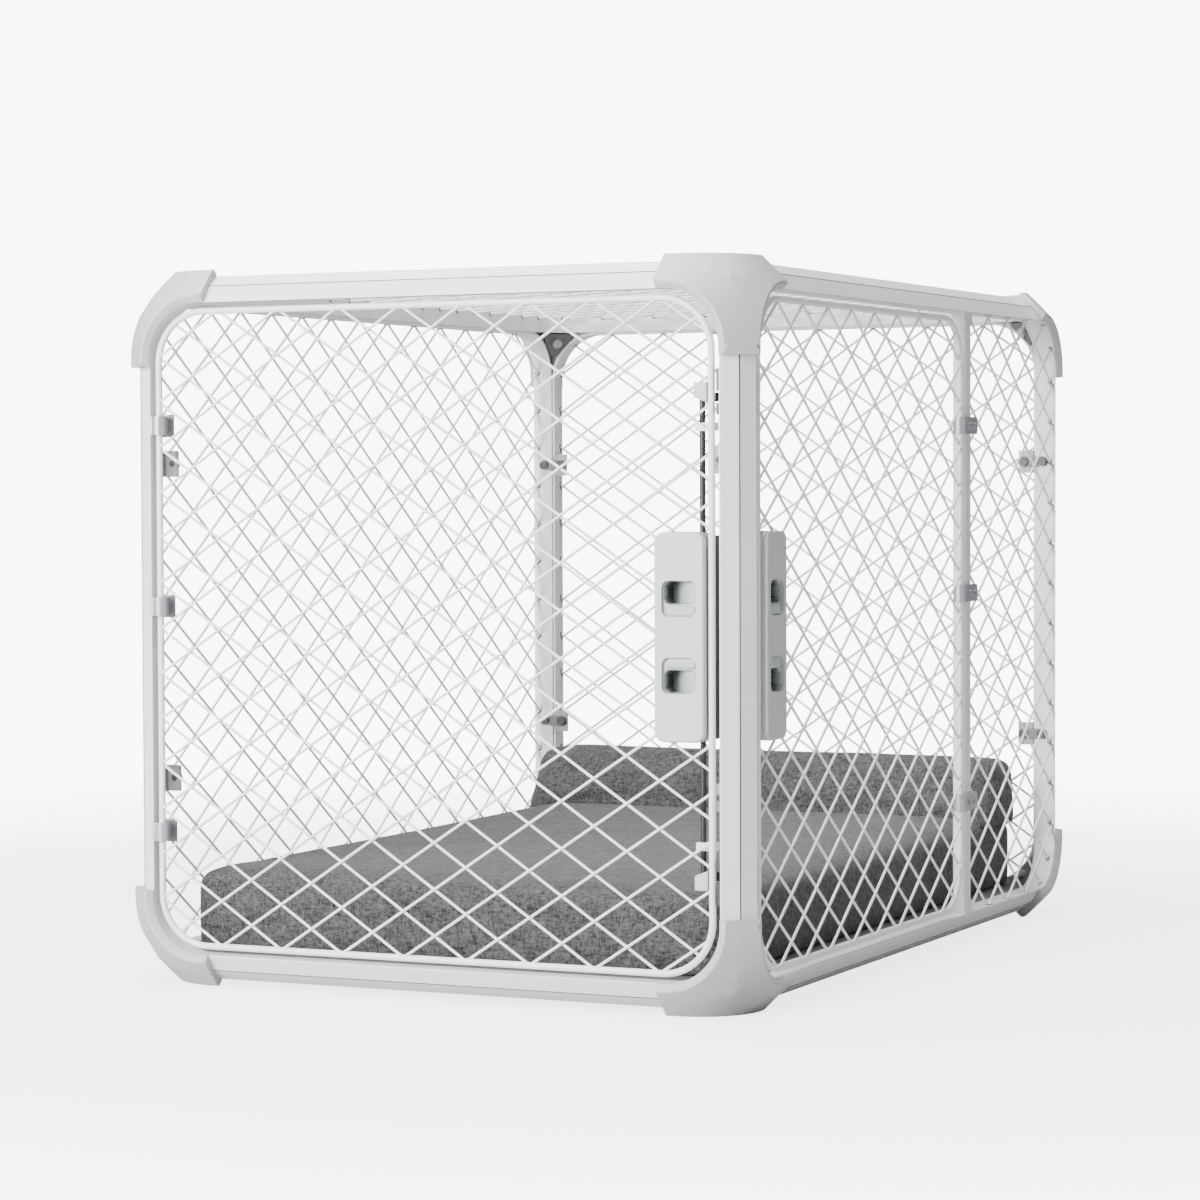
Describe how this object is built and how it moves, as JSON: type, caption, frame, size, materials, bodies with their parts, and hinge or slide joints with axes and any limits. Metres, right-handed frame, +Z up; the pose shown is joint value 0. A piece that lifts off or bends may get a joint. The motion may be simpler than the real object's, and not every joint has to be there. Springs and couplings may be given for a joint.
{
  "type": "pet playpen",
  "caption": "Wire pet crate and playpen: framed diamond-mesh panels held by moulded corners, two latching doors, clips, mattress and bolster.",
  "frame": {"origin": "centre of the overall box, on the surface that the corner caps stand on", "axes": "+Z up, -Y out of the front door, +X out of the side door, Y along the crate"},
  "size_m": [0.622, 0.922, 0.657],
  "materials": {
    "powder_coated_aluminium": "white powder coat, satin",
    "coated_wire": "white powder coat, satin",
    "moulded_plastic": "light grey, fine satin",
    "slider_plastic": "pale grey, satin",
    "grey_steel": "dark grey coat, satin",
    "zinc_steel": "dark zinc plating",
    "heather_fabric": "heathered woven fabric",
    "board_plastic": "plain, matte"
  },
  "bodies": {
    "crate": {"front_frame": "powder_coated_aluminium", "back_frame": "powder_coated_aluminium", "left_frame": "powder_coated_aluminium", "right_frame": "powder_coated_aluminium", "bottom_frame": "powder_coated_aluminium", "top_frame": "powder_coated_aluminium", "back_mesh": "coated_wire", "left_mesh": "coated_wire", "top_mesh": "coated_wire", "bottom_mesh": "coated_wire", "right_rear_mesh": "coated_wire", "hinge_post": "powder_coated_aluminium", "cap_front_left_bottom": "moulded_plastic", "cap_front_left_top": "moulded_plastic", "cap_back_left_bottom": "moulded_plastic", "cap_back_left_top": "moulded_plastic", "cap_front_right_bottom": "moulded_plastic", "cap_front_right_top": "moulded_plastic", "cap_back_right_bottom": "moulded_plastic", "cap_back_right_top": "moulded_plastic", "corner_gussets": "grey_steel", "hinge_cuffs": "coated_wire", "front_hinge_straps": "grey_steel", "frame_screws": "zinc_steel", "keepers": "zinc_steel", "clip_plates": "grey_steel", "clip_pins": "zinc_steel", "floor_board": "board_plastic", "mattress": "heather_fabric", "bolster": "heather_fabric"},
    "front_door": {"front_door_rod": "coated_wire", "front_door_mesh": "coated_wire", "front_latch_cover": "moulded_plastic", "front_latch_back": "moulded_plastic", "front_latch_screws": "zinc_steel", "front_rod_guides": "coated_wire", "front_latch_spring": "zinc_steel"},
    "side_door": {"side_door_rod": "coated_wire", "side_door_mesh": "coated_wire", "side_latch_cover": "moulded_plastic", "side_latch_back": "moulded_plastic", "side_latch_screws": "zinc_steel", "side_rod_guides": "coated_wire", "side_latch_spring": "zinc_steel"},
    "front_upper_latch": {"front_upper_slider": "slider_plastic", "front_upper_latch_rod": "zinc_steel"},
    "front_lower_latch": {"front_lower_slider": "slider_plastic", "front_lower_latch_rod": "zinc_steel"},
    "side_upper_latch": {"side_upper_slider": "slider_plastic", "side_upper_latch_rod": "zinc_steel"},
    "side_lower_latch": {"side_lower_slider": "slider_plastic", "side_lower_latch_rod": "zinc_steel"},
    "lever_front_left_lower": {"clip_lever_front_left_lower": "grey_steel"},
    "lever_front_left_upper": {"clip_lever_front_left_upper": "grey_steel"},
    "lever_back_left_lower": {"clip_lever_back_left_lower": "grey_steel"},
    "lever_back_left_upper": {"clip_lever_back_left_upper": "grey_steel"},
    "lever_front_right_lower": {"clip_lever_front_right_lower": "grey_steel"},
    "lever_front_right_upper": {"clip_lever_front_right_upper": "grey_steel"},
    "lever_back_right_lower": {"clip_lever_back_right_lower": "grey_steel"},
    "lever_back_right_upper": {"clip_lever_back_right_upper": "grey_steel"}
  },
  "joints": [
    {"name": "front_door_hinge", "type": "hinge", "parent": "crate", "child": "front_door", "pos_m": [-0.2725, -0.452, 0.3285], "axis": [0, 0, -1], "range_deg": [0, 95]},
    {"name": "side_door_hinge", "type": "hinge", "parent": "crate", "child": "side_door", "pos_m": [0.302, 0.1225, 0.3285], "axis": [0, 0, 1], "range_deg": [0, 95]},
    {"name": "front_upper_latch_slide", "type": "slide", "parent": "front_door", "child": "front_upper_latch", "axis": [0, 0, 1], "range_m": [0, 0.01], "deforming": ["front_latch_spring"]},
    {"name": "front_lower_latch_slide", "type": "slide", "parent": "front_door", "child": "front_lower_latch", "axis": [0, 0, -1], "range_m": [0, 0.01]},
    {"name": "side_upper_latch_slide", "type": "slide", "parent": "side_door", "child": "side_upper_latch", "axis": [0, 0, 1], "range_m": [0, 0.01], "deforming": ["side_latch_spring"]},
    {"name": "side_lower_latch_slide", "type": "slide", "parent": "side_door", "child": "side_lower_latch", "axis": [0, 0, -1], "range_m": [0, 0.01]},
    {"name": "lever_front_left_lower_swivel", "type": "hinge", "parent": "crate", "child": "lever_front_left_lower", "pos_m": [-0.271, -0.429, 0.19], "axis": [0, 1, 0], "range_deg": [0, 90]},
    {"name": "lever_front_left_upper_swivel", "type": "hinge", "parent": "crate", "child": "lever_front_left_upper", "pos_m": [-0.271, -0.429, 0.48], "axis": [0, 1, 0], "range_deg": [0, 90]},
    {"name": "lever_back_left_lower_swivel", "type": "hinge", "parent": "crate", "child": "lever_back_left_lower", "pos_m": [-0.271, 0.429, 0.19], "axis": [0, 1, 0], "range_deg": [0, 90]},
    {"name": "lever_back_left_upper_swivel", "type": "hinge", "parent": "crate", "child": "lever_back_left_upper", "pos_m": [-0.271, 0.429, 0.48], "axis": [0, 1, 0], "range_deg": [0, 90]},
    {"name": "lever_front_right_lower_swivel", "type": "hinge", "parent": "crate", "child": "lever_front_right_lower", "pos_m": [0.271, -0.429, 0.19], "axis": [0, -1, 0], "range_deg": [0, 90]},
    {"name": "lever_front_right_upper_swivel", "type": "hinge", "parent": "crate", "child": "lever_front_right_upper", "pos_m": [0.271, -0.429, 0.48], "axis": [0, -1, 0], "range_deg": [0, 90]},
    {"name": "lever_back_right_lower_swivel", "type": "hinge", "parent": "crate", "child": "lever_back_right_lower", "pos_m": [0.271, 0.429, 0.19], "axis": [0, -1, 0], "range_deg": [0, 90]},
    {"name": "lever_back_right_upper_swivel", "type": "hinge", "parent": "crate", "child": "lever_back_right_upper", "pos_m": [0.271, 0.429, 0.48], "axis": [0, -1, 0], "range_deg": [0, 90]}
  ]
}
